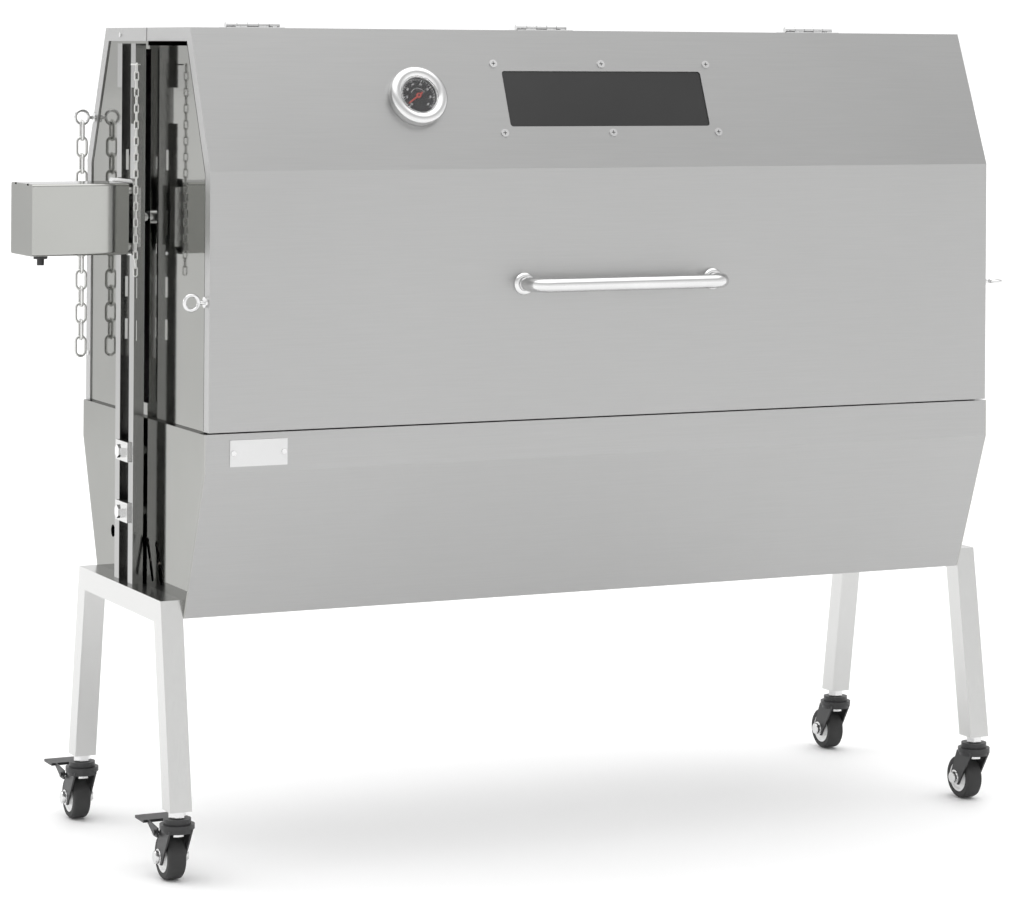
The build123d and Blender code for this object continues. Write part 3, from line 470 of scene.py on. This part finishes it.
def screwRecesses():
    # a dark cross on each window screw, painted shade standing in for the shadow inside its recess,
    # repeated by a node tree and then baked to one mesh
    tree = bpy.data.node_groups.new("screw_cross_shade", "GeometryNodeTree")
    tree.interface.new_socket("Geometry", in_out="INPUT", socket_type="NodeSocketGeometry")
    long = tree.interface.new_socket("Long", in_out="INPUT", socket_type="NodeSocketFloat")
    wide = tree.interface.new_socket("Wide", in_out="INPUT", socket_type="NodeSocketFloat")
    tree.interface.new_socket("Geometry", in_out="OUTPUT", socket_type="NodeSocketGeometry")
    entry = tree.nodes.new("NodeGroupInput")
    leave = tree.nodes.new("NodeGroupOutput")
    both = tree.nodes.new("GeometryNodeJoinGeometry")
    for first, second in (("Long", "Wide"), ("Wide", "Long")):
        size = tree.nodes.new("ShaderNodeCombineXYZ")
        tree.links.new(entry.outputs[first], size.inputs[0])
        tree.links.new(entry.outputs[second], size.inputs[1])
        size.inputs[2].default_value = screw["deep"]
        bar = tree.nodes.new("GeometryNodeMeshCube")
        tree.links.new(size.outputs[0], bar.inputs["Size"])
        tree.links.new(bar.outputs["Mesh"], both.inputs[0])
    spread = tree.nodes.new("GeometryNodeInstanceOnPoints")
    tree.links.new(entry.outputs["Geometry"], spread.inputs["Points"])
    tree.links.new(both.outputs[0], spread.inputs["Instance"])
    spread.inputs["Rotation"].default_value = slopeOut.to_track_quat("Z", "X").to_euler()
    real = tree.nodes.new("GeometryNodeRealizeInstances")
    tree.links.new(spread.outputs[0], real.inputs[0])
    paint = tree.nodes.new("GeometryNodeSetMaterial")
    # the crosses get the near-black painted shade finish
    paint.inputs["Material"].default_value = paintedRecessShade
    tree.links.new(real.outputs[0], paint.inputs["Geometry"])
    tree.links.new(paint.outputs[0], leave.inputs[0])
    points = bpy.data.meshes.new("screw_spots")
    points.from_pydata([onSlope(x, s, screw["lift"]) for x, s in screw["spots"]], [], [])
    holder = bpy.data.objects.new("screw_spots", points)
    bpy.context.scene.collection.objects.link(holder)
    change = holder.modifiers.new("crosses", "NODES")
    change.node_group = tree
    change[long.identifier] = screw["long"]
    change[wide.identifier] = screw["wide"]
    bpy.context.view_layer.update()
    seen = holder.evaluated_get(bpy.context.evaluated_depsgraph_get())
    mesh = bpy.data.meshes.new_from_object(seen)
    bpy.data.objects.remove(holder)
    made = bpy.data.objects.new("screw_cross_shade", mesh)
    bpy.context.scene.collection.objects.link(made)
    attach(made, "lid")


screwRecesses()
print("fittings")

# camera, light, floor

view = {"at": (-1.7711, -3.6445, 0.8980), "yaw": 0.4435, "roll": 0.0066, "lens": 121.12447,
        "sensor": 36, "shiftY": -0.395, "far": 200}


def addCamera():
    camera = bpy.data.objects.new("studio_camera", bpy.data.cameras.new("studio_camera"))
    bpy.context.scene.collection.objects.link(camera)
    c = math.cos(view["yaw"])
    s = math.sin(view["yaw"])
    ahead = Vector((s, c, 0))
    right = Vector((c, -s, 0))
    up = Vector((0, 0, 1))
    r = view["roll"]
    tiltedRight = right * math.cos(r) + up * math.sin(r)
    tiltedUp = up * math.cos(r) - right * math.sin(r)
    basis = Matrix((tiltedRight, tiltedUp, -ahead)).transposed()
    camera.matrix_world = Matrix.Translation(place(*view["at"])) @ basis.to_4x4()
    camera.data.sensor_fit = "HORIZONTAL"
    camera.data.sensor_width = view["sensor"]
    camera.data.lens = view["lens"]
    camera.data.shift_y = view["shiftY"]
    camera.data.clip_end = view["far"]
    bpy.context.scene.camera = camera


ground = {"outline": ((-30, -30), (30, -30), (30, 60), (-30, 60)), "z": -0.0005, "patch": 0.6,
          "dark": (0.93, 0.93, 0.93), "light": (0.96, 0.96, 0.96), "rough": 0.7, "shine": 0.2}


def addFloor():
    work = bmesh.new()
    work.faces.new([work.verts.new((x, y, ground["z"])) for x, y in ground["outline"]])
    mesh = bpy.data.meshes.new("studio_floor")
    work.to_mesh(mesh)
    work.free()
    floor = bpy.data.objects.new("studio_floor", mesh)
    bpy.context.scene.collection.objects.link(floor)
    shade = Shader("studio_floor")
    broad = shade.noise((1, 1, 1), ground["patch"], surface["patchDetail"])
    shade.feed("Base Color", shade.blend(broad, ground["dark"], ground["light"]))
    shade.feed("Roughness", ground["rough"])
    shade.feed("Specular IOR Level", ground["shine"])
    mesh.materials.append(shade.material)


light = {"at": (-3.5, 2.5, 2.2), "towards": (0, 0, 0.6), "size": (2.5, 2.0), "power": 30}


def addLight():
    data = bpy.data.lights.new("side_soft", "AREA")
    data.shape = "RECTANGLE"
    data.size, data.size_y = light["size"]
    data.energy = light["power"]
    lamp = bpy.data.objects.new("side_soft", data)
    bpy.context.scene.collection.objects.link(lamp)
    at = Vector(light["at"])
    turn = (Vector(light["towards"]) - at).normalized().to_track_quat("-Z", "Y")
    lamp.matrix_world = Matrix.Translation(at) @ turn.to_matrix().to_4x4()


sky = {"strength": 2.0, "rim": 0.55, "steps": ((0.22, 0.53), (0.45, 0.345), (0.62, 0.38), (0.80, 1.0))}


def addSky():
    world = bpy.data.worlds.new("studio_sky")
    bpy.context.scene.world = world
    world.use_nodes = True
    tree = world.node_tree
    direction = tree.nodes.new("ShaderNodeTexCoord")
    split = tree.nodes.new("ShaderNodeSeparateXYZ")
    tree.links.new(direction.outputs["Generated"], split.inputs[0])
    ramp = tree.nodes.new("ShaderNodeValToRGB")
    tree.links.new(split.outputs["Z"], ramp.inputs[0])
    ramp.color_ramp.elements[0].position = 0.0
    ramp.color_ramp.elements[0].color = (sky["rim"],) * 3 + (1,)
    ramp.color_ramp.elements[1].position = 1.0
    ramp.color_ramp.elements[1].color = (1, 1, 1, 1)
    for position, shade in sky["steps"]:
        stop = ramp.color_ramp.elements.new(position)
        stop.color = (shade, shade, shade, 1)
    tree.links.new(ramp.outputs[0], tree.nodes["Background"].inputs["Color"])
    tree.nodes["Background"].inputs["Strength"].default_value = sky["strength"]


addCamera()
addFloor()
addSky()
addLight()
bpy.context.scene.view_settings.view_transform = "Standard"
print("studio")
